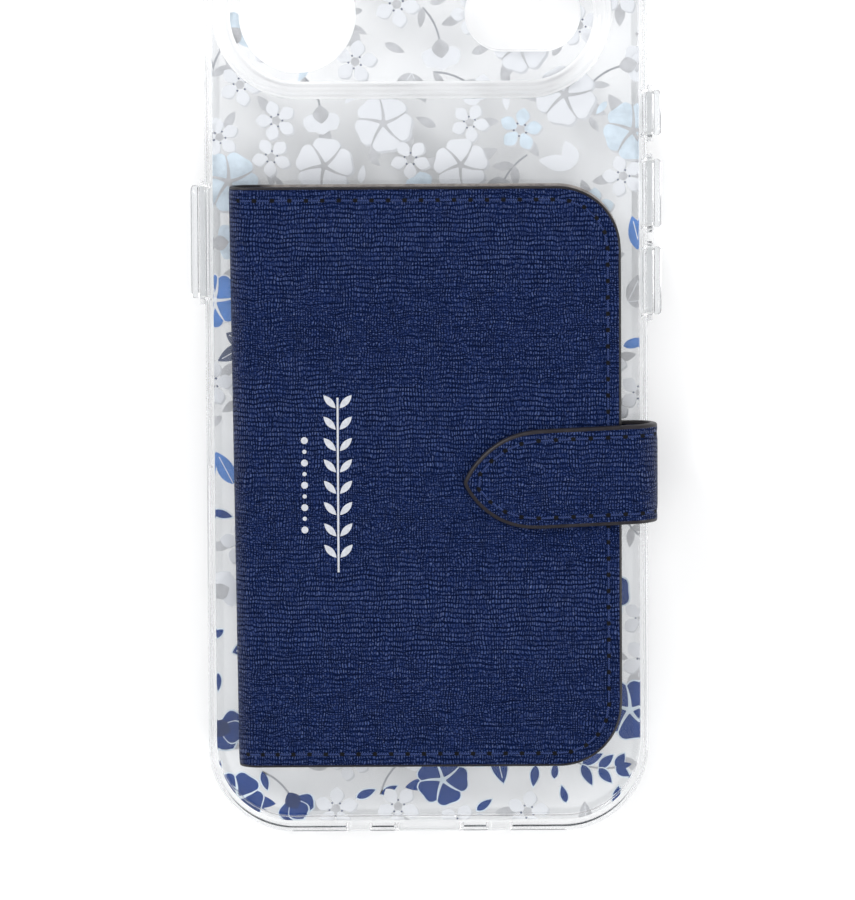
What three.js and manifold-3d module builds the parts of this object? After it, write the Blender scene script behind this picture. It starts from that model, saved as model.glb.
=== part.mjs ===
// A clear phone case with a magnetic folio wallet on its back, closed by a wrap-over strap.
// Millimetres. +Z points out of the back, +Y towards the camera end, and the case lies on its screen lip.
import * as THREE from 'three';
import { mergeVertices } from 'three/addons/utils/BufferGeometryUtils.js';
import Module from 'manifold-3d';

const wasm = await Module();
wasm.setup();

// ---- driving sizes -------------------------------------------------------------------------------
const GAP = 0.05; // between two layers that lie on each other
const FIT = 0.15; // around a piece that is pressed into another

const caseSize = { halfX: 38.5, halfY: 79.8, corner: 15, top: 8.95, lip: 1.3 };
const phoneBay = { halfX: 37.4, halfY: 78.2, corner: 13.7, top: 7.3 };
const screenHole = { halfX: 35.9, halfY: 76.8, corner: 12.2 };
const backPlate = { halfX: 37.2, low: -76.9, high: 78.9, corner: 13.5, thickness: 1.5 };
const printFilm = { inset: 0.35, thickness: 0.12 };
const cameraHump = { left: -36.9, right: 32.3, low: 48.9, high: 78.5, height: 2.7, draft: 1.9, wall: 1.3 };
const lensHole = { x: -22.1, y: 63.7, radius: 9.8 };
const flashHole = { left: 7.2, right: 26.6, y: 63.7, halfY: 6.3 };

const magnetRing = { outer: 28, inner: 23 };
const magnetBar = { y: -41, halfX: 3, halfY: 9.5 };
const caseMagnet = 0.5; // thickness of the magnets in the case
const walletMagnet = 0.8; // thickness of the magnets in the wallet

const buttonZ = { mid: 4.3, half: 1.7 };
const buttonX = { inner: 37.75, outer: 40.95 };
const buttons = [
  { name: 'side_button', side: -1, y: 23.8, length: 19.9 },
  { name: 'action_button', side: 1, y: 45.9, length: 8 },
  { name: 'volume_up_button', side: 1, y: 31.9, length: 12 },
  { name: 'volume_down_button', side: 1, y: 16.6, length: 12 },
];
const buttonClearance = 0.25;
const buttonWeb = { from: 22.8, to: 25.7, outer: 39.6 }; // joins the two volume buttons' surrounds
const cameraNotch = { y: -25.7, outerHalf: 10.6, innerHalf: 8.4, low: 2.15, high: 6.5 };
const chargePort = { halfX: 6.15, halfZ: 2.5 };
const speakerSlot = { x: 12.3, halfX: 2.3, halfZ: 1.2 };

const wallet = { left: -33.6, right: 33.7, low: -67.2, high: 34.1, corner: 11, foldCorner: 0.8 };
const leather = 0.8; // thickness of every leather panel
const layer = 0.4; // thickness of the linings and pocket panels
const board = 0.8; // the stiffener in the cover
const carrierThickness = 1.2;
const shieldThickness = 0.3;
const foldClear = 3.5; // from the fold to the first layer inside it
const hem = 0.5; // the inner layers stop this far inside the leather's edge
const pocketMouths = [-15, -7, 1]; // X of the card pockets' mouths, back to front
const slipMouth = -10; // X of the cover pocket's mouth
const coverGap = 0.15; // between the closed cover and the front card pocket

const strap = { y: -16.6, halfWidth: 8.65, tip: 6.5, shoulder: 20.5, rootStart: 28.3, outermost: 40 };
const strapLining = 0.6;
const strapLift = 0.15; // between the cover and the closed strap
const snapDisc = { x: 15.5, radius: 4, magnet: 0.45, steel: 0.5 };

// ---- heights of the layers, from the case outwards ------------------------------------------------
const plateTop = phoneBay.top + backPlate.thickness;
const humpTop = plateTop + cameraHump.height;
const walletBottom = plateTop + 0.1;
const carrierBottom = walletBottom + leather + GAP;
const shieldBottom = carrierBottom + carrierThickness + GAP;
const baseLiningBottom = shieldBottom + shieldThickness + GAP;
const pocketBottoms = pocketMouths.map((_, i) => baseLiningBottom + (i + 1) * (layer + GAP));
const slipBottom = pocketBottoms.at(-1) + layer + coverGap;
const coverLiningBottom = slipBottom + layer + GAP;
const coverBoardBottom = coverLiningBottom + layer + GAP;
const coverLeatherBottom = coverBoardBottom + board + GAP;
const coverTop = coverLeatherBottom + leather;
const strapLiningBottom = coverTop + strapLift;
const strapLeatherBottom = strapLiningBottom + strapLining + GAP;
const strapTop = strapLeatherBottom + leather;

const fold = { radius: (coverTop - walletBottom) / 2, z: (coverTop + walletBottom) / 2 };
fold.x = wallet.left + fold.radius;
const bend = { radius: (strapTop - carrierBottom) / 2, z: (strapTop + carrierBottom) / 2 };
bend.x = strap.outermost - bend.radius;

// ---- shape helpers -------------------------------------------------------------------------------
// A rectangle with its own radius at each corner, in order: right top, left top, left bottom, right bottom.
function roundedOutline(left, right, low, high, radii) {
  const [rt, lt, lb, rb] = radii;
  const shape = new THREE.Shape();
  shape.absarc(right - rt, high - rt, rt, 0, Math.PI / 2);
  shape.absarc(left + lt, high - lt, lt, Math.PI / 2, Math.PI);
  shape.absarc(left + lb, low + lb, lb, Math.PI, 1.5 * Math.PI);
  shape.absarc(right - rb, low + rb, rb, 1.5 * Math.PI, 2 * Math.PI);
  return shape;
}

function centredOutline({ halfX, halfY, corner }, inset = 0) {
  const radii = Array(4).fill(corner - inset);
  return roundedOutline(inset - halfX, halfX - inset, inset - halfY, halfY - inset, radii);
}

// The wallet's outline from x = left to its right edge, inset all round except at the left.
function walletOutline(left, inset, leftCorner = 0.3) {
  const corner = wallet.corner - inset;
  const radii = [corner, leftCorner, leftCorner, corner];
  return roundedOutline(left, wallet.right - inset, wallet.low + inset, wallet.high - inset, radii);
}

function slab(shape, bottom, top, curveSegments = 10) {
  const settings = { depth: top - bottom, bevelEnabled: false, curveSegments };
  const geometry = new THREE.ExtrudeGeometry(shape, settings);
  return geometry.translate(0, 0, bottom);
}

// Stacks outlines, one for each [z, inset] level, into a closed body with rounded edges.
function loft(outlineAt, levels, curveSegments = 10) {
  const rings = levels.map(([z, inset]) =>
    outlineAt(inset).extractPoints(curveSegments).shape.map((p) => [p.x, p.y, z]));
  const count = rings[0].length;
  const positions = rings.flat(2);
  const index = [];
  for (let ring = 0; ring < rings.length - 1; ring++) {
    for (let i = 0; i < count; i++) {
      const a = ring * count + i;
      const b = ring * count + ((i + 1) % count);
      index.push(a, b, b + count, a, b + count, a + count);
    }
  }
  const lastRing = (rings.length - 1) * count;
  for (let i = 1; i < count - 1; i++) {
    index.push(0, i + 1, i);
    index.push(lastRing, lastRing + i, lastRing + i + 1);
  }
  const geometry = new THREE.BufferGeometry();
  geometry.setAttribute('position', new THREE.Float32BufferAttribute(positions, 3));
  geometry.setIndex(index);
  return geometry;
}

// A section in the XZ plane, run along Y from low to high.
function runAlongY(section, low, high) {
  const settings = { depth: high - low, bevelEnabled: false, curveSegments: 12 };
  const geometry = new THREE.ExtrudeGeometry(section, settings);
  return geometry.rotateX(Math.PI / 2).translate(0, high, 0);
}

// A flat run and a quarter turn around centre, as one strip between two radii. side is the way that
// the turn bulges along X, and level is -1 for the strip below the centre or 1 for the one above it.
function turnedStrip(centre, inner, outer, flatEnd, side, level) {
  const cut = GAP / centre.radius; // leaves a gap between the lower and the upper strip
  const flat = level * Math.PI / 2;
  const start = side > 0 ? flat : Math.PI - flat;
  const end = (side > 0 ? 0 : Math.PI) + side * level * cut;
  const clockwise = side * level > 0;
  const section = new THREE.Shape();
  section.moveTo(flatEnd, centre.z + level * outer);
  section.lineTo(centre.x, centre.z + level * outer);
  section.absarc(centre.x, centre.z, outer, start, end, clockwise);
  section.absarc(centre.x, centre.z, inner, end, start, !clockwise);
  section.lineTo(flatEnd, centre.z + level * inner);
  return section;
}

function box(x0, x1, y0, y1, z0, z1) {
  const geometry = new THREE.BoxGeometry(x1 - x0, y1 - y0, z1 - z0);
  return geometry.translate((x0 + x1) / 2, (y0 + y1) / 2, (z0 + z1) / 2);
}

function disc(x, y, radius, bottom, top, segments = 48) {
  const geometry = new THREE.CylinderGeometry(radius, radius, top - bottom, segments);
  return geometry.rotateX(Math.PI / 2).translate(x, y, (bottom + top) / 2);
}

function toSolid(geometry) {
  const bare = geometry.clone();
  bare.deleteAttribute('normal');
  bare.deleteAttribute('uv');
  const merged = mergeVertices(bare, 1e-4);
  return new wasm.Manifold(new wasm.Mesh({
    numProp: 3,
    vertProperties: new Float32Array(merged.attributes.position.array),
    triVerts: new Uint32Array(merged.index.array),
  }));
}

function toGeometry(solid) {
  const mesh = solid.getMesh();
  const geometry = new THREE.BufferGeometry();
  geometry.setAttribute('position', new THREE.BufferAttribute(mesh.vertProperties, 3));
  geometry.setIndex(new THREE.BufferAttribute(mesh.triVerts, 1));
  geometry.computeVertexNormals();
  return geometry;
}

function cut(base, ...cutters) {
  let solid = toSolid(base);
  for (const cutter of cutters) {
    solid = solid.subtract(toSolid(cutter));
  }
  return toGeometry(solid);
}

function common(a, b) {
  return toGeometry(toSolid(a).intersect(toSolid(b)));
}

// ---- the case ------------------------------------------------------------------------------------
function seatOutline(inset = 0) {
  const { halfX, low, high, corner } = backPlate;
  const radii = Array(4).fill(corner - inset);
  return roundedOutline(inset - halfX, halfX - inset, low + inset, high - inset, radii);
}

function humpOutline(inset) {
  const { left, right, low, high } = cameraHump;
  const radius = (high - low) / 2 - inset - 0.01;
  return roundedOutline(left + inset, right - inset, low + inset, high - inset, Array(4).fill(radius));
}

function flashOutline() {
  const { left, right, y, halfY } = flashHole;
  return roundedOutline(left, right, y - halfY, y + halfY, Array(4).fill(halfY));
}

// The clear hard back: a plate with the raised camera hump, hollow below, and grooves for the magnets.
function makeBackPlate() {
  const { draft, wall } = cameraHump;
  const top = humpTop;
  const plate = toSolid(loft((inset) => seatOutline(FIT + inset), [
    [phoneBay.top, 0],
    [plateTop - 0.3, 0],
    [plateTop, 0.25],
  ]));
  const hump = toSolid(loft(humpOutline, [
    [phoneBay.top + 0.2, 0],
    [plateTop + 0.1, 0],
    [plateTop + 0.5, 0.35 * draft],
    [top - 0.6, 0.7 * draft],
    [top - 0.2, 0.85 * draft],
    [top, 1.15 * draft],
  ], 14));
  const hollow = toSolid(loft((inset) => humpOutline(wall + inset), [
    [phoneBay.top - 1, 0.1],
    [plateTop + 0.2, 0.1],
    [top - wall, 0.7 * draft],
  ], 14));
  const grooveTop = phoneBay.top + caseMagnet + 2 * GAP;
  const grooveOutside = toSolid(disc(0, 0, magnetRing.outer + FIT, phoneBay.top - 1, grooveTop, 64));
  const grooveInside = toSolid(disc(0, 0, magnetRing.inner - FIT, phoneBay.top - 2, grooveTop + 1, 64));
  const barPocket = toSolid(barSlab(FIT, phoneBay.top - 1, grooveTop));
  const lens = toSolid(disc(lensHole.x, lensHole.y, lensHole.radius, phoneBay.top, top + 1, 56));
  const flash = toSolid(slab(flashOutline(), phoneBay.top, top + 1));
  return toGeometry(plate.add(hump).subtract(hollow)
    .subtract(grooveOutside.subtract(grooveInside))
    .subtract(barPocket).subtract(lens).subtract(flash));
}

// The soft clear frame around the phone, with a screen lip below and the seat of the hard back above.
function makeBumper() {
  const { top, lip } = caseSize;
  const outside = toSolid(loft((inset) => centredOutline(caseSize, inset), [
    [0, 1.1],
    [0.35, 0.4],
    [1.1, 0],
    [6.9, 0],
    [8, 0.12],
    [8.6, 0.4],
    [top, 0.9],
  ], 12));
  const web = box(caseSize.halfX - 0.5, buttonWeb.outer, buttonWeb.from, buttonWeb.to,
    buttonZ.mid - buttonZ.half, buttonZ.mid + buttonZ.half);
  const cutters = [
    slab(centredOutline(phoneBay), lip, phoneBay.top + 0.01, 12),
    slab(centredOutline(screenHole), -1, lip + 0.01, 12),
    slab(seatOutline(), phoneBay.top, top + 1, 12),
    cameraNotchCutter(),
    endSlot(0, chargePort.halfX, chargePort.halfZ),
    endSlot(-speakerSlot.x, speakerSlot.halfX, speakerSlot.halfZ),
    endSlot(speakerSlot.x, speakerSlot.halfX, speakerSlot.halfZ),
    ...buttons.map((button) => buttonBlock(button, buttonClearance, phoneBay.halfX - 1, buttonX.outer + 1)),
  ];
  let solid = outside.add(toSolid(web));
  for (const cutter of cutters) {
    solid = solid.subtract(toSolid(cutter));
  }
  return toGeometry(solid);
}

// A slot with round ends through the bottom wall of the frame.
function endSlot(x, halfX, halfZ) {
  const outline = roundedOutline(x - halfX, x + halfX, buttonZ.mid - halfZ, buttonZ.mid + halfZ,
    Array(4).fill(halfZ - 0.01));
  return runAlongY(outline, -caseSize.halfY - 1, -screenHole.halfY - 0.5);
}

// The opening over the camera control: wider at the outside, so that a finger slides in.
function cameraNotchCutter() {
  const { y, outerHalf, innerHalf, low, high } = cameraNotch;
  const outline = new THREE.Shape();
  outline.moveTo(-caseSize.halfX - 1, y - outerHalf - 1.3);
  outline.lineTo(-screenHole.halfX - 0.5, y - innerHalf);
  outline.lineTo(-screenHole.halfX - 0.5, y + innerHalf);
  outline.lineTo(-caseSize.halfX - 1, y + outerHalf + 1.3);
  return slab(outline, low, high);
}

// A block with round ends along a side wall, grown by clearance all round.
function buttonBlock({ side, y, length }, clearance, inner, outer) {
  const halfY = length / 2 + clearance;
  const halfZ = buttonZ.half + clearance;
  const outline = roundedOutline(buttonZ.mid - halfZ, buttonZ.mid + halfZ, y - halfY, y + halfY,
    Array(4).fill(halfZ - 0.01));
  const geometry = slab(outline, inner, outer, 6);
  // the outline's x is the height above the table: turn it up, with the depth running along +X
  const upright = new THREE.Matrix4();
  upright.set(0, 0, 1, 0, 0, 1, 0, 0, -1, 0, 0, 2 * buttonZ.mid, 0, 0, 0, 1);
  geometry.applyMatrix4(upright);
  return side > 0 ? geometry : geometry.rotateZ(Math.PI).translate(0, 2 * y, 0);
}

function makeButton(button) {
  return buttonBlock(button, 0, buttonX.inner, buttonX.outer);
}

function makePrintFilm() {
  const outline = centredOutline(phoneBay, printFilm.inset);
  const top = phoneBay.top - GAP;
  const flat = slab(outline, top - printFilm.thickness, top, 12);
  const humpOpening = slab(humpOutline(cameraHump.wall - 0.2), 0, 20, 14);
  return cut(flat, humpOpening);
}

// ---- magnets -------------------------------------------------------------------------------------
function barSlab(grow, bottom, top) {
  const { y, halfX, halfY } = magnetBar;
  const outline = centredOutline({ halfX: halfX + grow, halfY: halfY + grow, corner: 1 + grow });
  return slab(outline, bottom, top, 4).translate(0, y, 0);
}

function makeMagnetRing(bottom, thickness) {
  const ring = new THREE.Shape().absarc(0, 0, magnetRing.outer, 0, 2 * Math.PI);
  ring.holes.push(new THREE.Path().absarc(0, 0, magnetRing.inner, 0, 2 * Math.PI));
  return slab(ring, bottom, bottom + thickness, 32);
}

// ---- the wallet's base -----------------------------------------------------------------------------
// Leather that lies flat and turns a quarter of the way round the fold; level is -1 below, 1 above.
function makeFoldedLeather(level) {
  const section = turnedStrip(fold, fold.radius - leather, fold.radius, wallet.right + 1, -1, level);
  const sheet = runAlongY(section, wallet.low - 1, wallet.high + 1);
  return common(sheet, slab(walletOutline(wallet.left, 0, wallet.foldCorner), 0, 30, 12));
}

// The stiff panel that holds the ring and the bar, notched where the strap is sewn in.
function makeCarrier() {
  const bottom = carrierBottom;
  const top = carrierBottom + carrierThickness;
  const pocketFloor = top - walletMagnet - 2 * GAP;
  const ringOutside = toSolid(disc(0, 0, magnetRing.outer + FIT, pocketFloor, top + 1, 64));
  const ringInside = toSolid(disc(0, 0, magnetRing.inner - FIT, 0, top + 2, 64));
  const strapNotch = box(strap.rootStart - 0.4, wallet.right + 1,
    strap.y - strap.halfWidth - 0.3, strap.y + strap.halfWidth + 0.3, 0, 30);
  const panel = toSolid(slab(walletOutline(wallet.left + foldClear, hem + 0.3), bottom, top, 12));
  return toGeometry(panel.subtract(ringOutside.subtract(ringInside))
    .subtract(toSolid(barSlab(FIT, pocketFloor, top + 1))).subtract(toSolid(strapNotch)));
}

function makeShield() {
  const outline = roundedOutline(-29.5, strap.rootStart - 0.5, -52, 29.5, [3, 3, 3, 3]);
  return slab(outline, shieldBottom, shieldBottom + shieldThickness, 6);
}

function makeInnerLayer(left, bottom, thickness, inset = hem) {
  return slab(walletOutline(left, inset), bottom, bottom + thickness, 12);
}

// ---- the cover and the strap ------------------------------------------------------------------------
function makeCoverBoard() {
  const panel = makeInnerLayer(wallet.left + foldClear, coverBoardBottom, board, hem + 0.4);
  const top = coverBoardBottom + board;
  const seatBottom = top - snapDisc.steel - 2 * GAP;
  return cut(panel, disc(snapDisc.x, strap.y, snapDisc.radius + 1 + FIT, seatBottom, top + 1));
}

// The strap's outline: straight sides, then two arcs that meet at a slightly blunt point.
function strapOutline(right) {
  const { y, halfWidth, tip, shoulder } = strap;
  const reach = shoulder - tip;
  const outline = new THREE.Shape();
  outline.moveTo(right, y - halfWidth);
  outline.lineTo(right, y + halfWidth);
  const full = shoulder - 0.52 * reach;
  const narrow = tip + 0.1 * reach;
  outline.lineTo(shoulder, y + halfWidth);
  outline.bezierCurveTo(full, y + halfWidth, narrow, y + 4.2, tip, y + 0.9);
  outline.quadraticCurveTo(tip - 0.5, y, tip, y - 0.9);
  outline.bezierCurveTo(narrow, y - 4.2, full, y - halfWidth, shoulder, y - halfWidth);
  return outline;
}

// One ply of the strap: the half below the bend's middle is sewn into the base, the other is the flap.
function makeStrapPly(inner, outer, level) {
  const flatEnd = level > 0 ? strap.tip - 2 : strap.rootStart;
  const section = turnedStrip(bend, inner, outer, flatEnd, 1, level);
  const ply = runAlongY(section, strap.y - strap.halfWidth, strap.y + strap.halfWidth);
  return common(ply, slab(strapOutline(wallet.right + 20), 0, 30, 12));
}

const strapRadii = {
  leather: [bend.radius - leather, bend.radius],
  lining: [bend.radius - leather - GAP - strapLining, bend.radius - leather - GAP],
};

function makeFlapLeather() {
  const recessTop = strapLeatherBottom + 0.2;
  return cut(makeStrapPly(...strapRadii.leather, 1),
    disc(snapDisc.x, strap.y, snapDisc.radius + FIT, strapLeatherBottom - 1, recessTop));
}

function makeFlapLining() {
  const recessBottom = strapLeatherBottom - GAP - 0.35;
  return cut(makeStrapPly(...strapRadii.lining, 1),
    disc(snapDisc.x, strap.y, snapDisc.radius + FIT, recessBottom, strapTop));
}

function makeSnapMagnet() {
  const bottom = strapLeatherBottom - GAP - 0.3;
  return disc(snapDisc.x, strap.y, snapDisc.radius, bottom, bottom + snapDisc.magnet);
}

function makeSnapPlate() {
  const top = coverBoardBottom + board - GAP;
  return disc(snapDisc.x, strap.y, snapDisc.radius + 1, top - snapDisc.steel, top);
}

// ---- materials and assembly ------------------------------------------------------------------------
const look = {
  clearHard: { color: 0xe6eaee, roughness: 0.08, metalness: 0 },
  clearSoft: { color: 0xf2f4f6, roughness: 0.15, metalness: 0 },
  film: { color: 0xc9d4e4, roughness: 0.4, metalness: 0 },
  magnet: { color: 0xb4b6ba, roughness: 0.3, metalness: 1 },
  leather: { color: 0x1e2b55, roughness: 0.5, metalness: 0 },
  lining: { color: 0x232a44, roughness: 0.9, metalness: 0 },
  board: { color: 0x6b655c, roughness: 0.9, metalness: 0 },
  steel: { color: 0x9a9da2, roughness: 0.35, metalness: 1 },
};

const group = new THREE.Group();

function addPart(name, geometry, finish) {
  const mesh = new THREE.Mesh(geometry, new THREE.MeshStandardMaterial(finish));
  mesh.name = name;
  group.add(mesh);
}

addPart('case_back_plate', makeBackPlate(), look.clearHard);
addPart('case_bumper', makeBumper(), look.clearSoft);
addPart('case_print_film', makePrintFilm(), look.film);
addPart('case_magnet_ring', makeMagnetRing(phoneBay.top + GAP, caseMagnet), look.magnet);
addPart('case_magnet_bar', barSlab(0, phoneBay.top + GAP, phoneBay.top + GAP + caseMagnet), look.magnet);
for (const button of buttons) {
  addPart(button.name, makeButton(button), look.clearHard);
}

const magnetBottom = carrierBottom + carrierThickness - walletMagnet - GAP;
addPart('wallet_back_leather', makeFoldedLeather(-1), look.leather);
addPart('wallet_magnet_carrier', makeCarrier(), look.board);
addPart('wallet_magnet_ring', makeMagnetRing(magnetBottom, walletMagnet), look.magnet);
addPart('wallet_magnet_bar', barSlab(0, magnetBottom, magnetBottom + walletMagnet), look.magnet);
addPart('wallet_shield_plate', makeShield(), look.steel);
addPart('wallet_base_lining', makeInnerLayer(wallet.left + foldClear, baseLiningBottom, layer), look.lining);
const pocketNames = ['card_pocket_back', 'card_pocket_middle', 'card_pocket_front'];
pocketNames.forEach((name, i) => {
  addPart(name, makeInnerLayer(pocketMouths[i], pocketBottoms[i], layer), look.leather);
});
addPart('strap_root_leather', makeStrapPly(...strapRadii.leather, -1), look.leather);
addPart('strap_root_lining', makeStrapPly(...strapRadii.lining, -1), look.lining);

addPart('cover_leather', makeFoldedLeather(1), look.leather);
addPart('cover_board', makeCoverBoard(), look.board);
addPart('cover_snap_plate', makeSnapPlate(), look.steel);
addPart('cover_lining', makeInnerLayer(wallet.left + foldClear, coverLiningBottom, layer), look.lining);
addPart('cover_slip_pocket', makeInnerLayer(slipMouth, slipBottom, layer), look.leather);

addPart('strap_flap_leather', makeFlapLeather(), look.leather);
addPart('strap_flap_lining', makeFlapLining(), look.lining);
addPart('strap_snap_magnet', makeSnapMagnet(), look.magnet);

export default group;
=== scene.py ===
"""Looks of the clear phone case with the magnetic leather wallet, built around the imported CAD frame."""
import math
import random

import bpy
from mathutils import Matrix, Vector


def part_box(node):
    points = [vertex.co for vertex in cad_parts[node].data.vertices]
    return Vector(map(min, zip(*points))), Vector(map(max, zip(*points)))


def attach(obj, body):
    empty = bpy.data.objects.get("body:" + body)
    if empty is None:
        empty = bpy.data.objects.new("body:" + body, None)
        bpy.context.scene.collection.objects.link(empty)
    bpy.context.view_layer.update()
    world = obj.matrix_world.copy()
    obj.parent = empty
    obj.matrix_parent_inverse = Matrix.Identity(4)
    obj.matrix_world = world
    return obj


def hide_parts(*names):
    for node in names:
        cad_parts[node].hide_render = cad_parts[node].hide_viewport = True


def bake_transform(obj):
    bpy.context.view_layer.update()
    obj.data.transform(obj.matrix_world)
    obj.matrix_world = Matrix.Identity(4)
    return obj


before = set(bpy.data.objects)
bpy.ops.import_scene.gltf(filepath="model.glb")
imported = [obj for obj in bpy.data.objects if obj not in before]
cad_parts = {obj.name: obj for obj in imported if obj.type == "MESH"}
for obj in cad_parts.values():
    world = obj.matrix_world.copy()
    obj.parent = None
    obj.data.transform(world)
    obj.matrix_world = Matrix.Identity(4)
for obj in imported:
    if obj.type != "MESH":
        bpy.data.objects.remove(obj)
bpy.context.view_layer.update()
MM = 0.001

# ---- sizes read from the frame, in millimetres ----


def extent(node):
    low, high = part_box(node)
    return [v / MM for v in low], [v / MM for v in high]


bumper_low, bumper_high = extent("case_bumper")
plate_low, plate_high = extent("case_back_plate")
film_low, film_high = extent("case_print_film")
back_low = extent("wallet_back_leather")[0]
cover_low, cover_high = extent("cover_leather")
root_low = extent("strap_root_leather")[0]
flap_low, flap_high = extent("strap_flap_leather")
strap_lining_top = extent("strap_flap_lining")[1][2]

CASE_HALF_X = -bumper_low[0]
CASE_HALF_Y = bumper_high[1]
LEATHER = 0.8
STRAP_LINING = 0.6
WALLET_CORNER = 11.0
FOLD_RADIUS = (cover_high[2] - back_low[2]) / 2
FOLD_X = cover_low[0] + FOLD_RADIUS
FOLD_Z = (cover_high[2] + back_low[2]) / 2
MIDDLE_Y = (cover_low[1] + cover_high[1]) / 2
HALF_HEIGHT = (cover_high[1] - cover_low[1]) / 2
STRAP_THICKNESS = flap_high[2] - (strap_lining_top - STRAP_LINING)
STRAP_RADIUS = (flap_high[2] - root_low[2]) / 2
STRAP_X = flap_high[0] - STRAP_RADIUS
STRAP_Z = (flap_high[2] + root_low[2]) / 2
STRAP_Y = (flap_low[1] + flap_high[1]) / 2
STRAP_HALF = (flap_high[1] - flap_low[1]) / 2

# ---- mesh helpers ----


def put_in_scene(name, data):
    made = bpy.data.objects.new(name, data)
    bpy.context.scene.collection.objects.link(made)
    return made


def polar(x, y, reach, turn):
    """The point at a distance and a direction from (x, y)."""
    return x + reach * math.cos(turn), y + reach * math.sin(turn)


def heading_of(a, b):
    """The unit heading from a to b."""
    size = math.dist(a, b) or 1
    return (b[0] - a[0]) / size, (b[1] - a[1]) / size


def beside(x, y, heading, along, across):
    """The point that lies along a heading and to the left of it from (x, y)."""
    return x + heading[0] * along - heading[1] * across, y + heading[1] * along + heading[0] * across


def make_object(name, points, faces, materials, face_slots=None, uvs=None, smooth_angle=40):
    """A mesh object from points in millimetres, smooth-shaded up to smooth_angle degrees."""
    mesh = bpy.data.meshes.new(name)
    mesh.from_pydata([tuple(c * MM for c in p) for p in points], [], faces)
    for material in materials:
        mesh.materials.append(material)
    if face_slots:
        mesh.polygons.foreach_set("material_index", face_slots)
    if uvs:
        layer = mesh.uv_layers.new(name="Flat")
        loops = [0] * len(mesh.loops)
        mesh.loops.foreach_get("vertex_index", loops)
        layer.data.foreach_set("uv", [c for i in loops for c in uvs[i]])
    mesh.shade_smooth()
    mesh.set_sharp_from_angle(angle=math.radians(smooth_angle))
    mesh.update()
    return put_in_scene(name, mesh)


def rounded_outline(left, right, low, high, radius, segments=16):
    """Points of a rectangle with round corners, anticlockwise."""
    corners = [
        (right - radius, high - radius, 0),
        (left + radius, high - radius, 90),
        (left + radius, low + radius, 180),
        (right - radius, low + radius, 270),
    ]
    return [polar(x, y, radius, math.radians(start + 90 * i / segments))
            for x, y, start in corners for i in range(segments + 1)]


def circle(x, y, radius, count=72):
    return [polar(x, y, radius, 2 * math.pi * i / count) for i in range(count)]


def add_tube(points, faces, slots, rings, slot=0):
    """Adds a closed body through rings of points, which have one length, to a mesh that is being built."""
    start, count = len(points), len(rings[0])
    last = start + (len(rings) - 1) * count
    for ring in rings:
        points.extend(ring)
    for first in range(start, last, count):
        for i in range(count):
            a, b = first + i, first + (i + 1) % count
            faces.append((a, b, b + count, a + count))
    faces.append(tuple(start + i for i in reversed(range(count))))
    faces.append(tuple(last + i for i in range(count)))
    slots.extend([slot] * (last - start + 2))


def loft(name, rings, materials):
    """A closed body through rings, which are lists of (x, y, z) with one length."""
    points, faces, slots = [], [], []
    add_tube(points, faces, slots, rings)
    return make_object(name, points, faces, materials)


def stacked(outline_at, levels):
    """Rings for loft: an outline at each (z, inset) level."""
    return [[(x, y, z) for x, y in outline_at(inset)] for z, inset in levels]


def apply_modifiers(made):
    bpy.context.view_layer.update()
    evaluated = made.evaluated_get(bpy.context.evaluated_depsgraph_get())
    mesh = bpy.data.meshes.new_from_object(evaluated)
    made.modifiers.clear()
    made.data = mesh


def boolean(made, cutter, operation="DIFFERENCE", solver="EXACT"):
    """Cuts or joins with a helper object, which is then removed."""
    modifier = made.modifiers.new("cut", "BOOLEAN")
    modifier.operation = operation
    modifier.solver = solver
    modifier.object = cutter
    apply_modifiers(made)
    bpy.data.objects.remove(cutter)


def finish_edges(made, width):
    """Rounds the sharp edges of a body a little and smooths the rest."""
    sharp = math.radians(50)
    bevel = made.modifiers.new("edge", "BEVEL")
    bevel.width = width * MM
    bevel.segments = 2
    bevel.limit_method = "ANGLE"
    bevel.angle_limit = sharp
    apply_modifiers(made)
    made.data.shade_smooth()
    made.data.set_sharp_from_angle(angle=sharp)
    even = made.modifiers.new("flat faces stay flat", "WEIGHTED_NORMAL")
    even.mode = "FACE_AREA"
    even.weight = 80
    even.keep_sharp = True
    apply_modifiers(made)


# ---- materials ----


def srgb(r, g, b):
    """A linear colour from 0-255 screen values."""
    linear = [((c / 255 + 0.055) / 1.055) ** 2.4 if c > 10 else c / 255 / 12.92 for c in (r, g, b)]
    return (*linear, 1)


def shaded(colour, share, lift=0.0):
    """A colour made darker or lighter by a share."""
    return tuple(min(c * share + lift, 1) for c in colour[:3]) + (1,)


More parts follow.
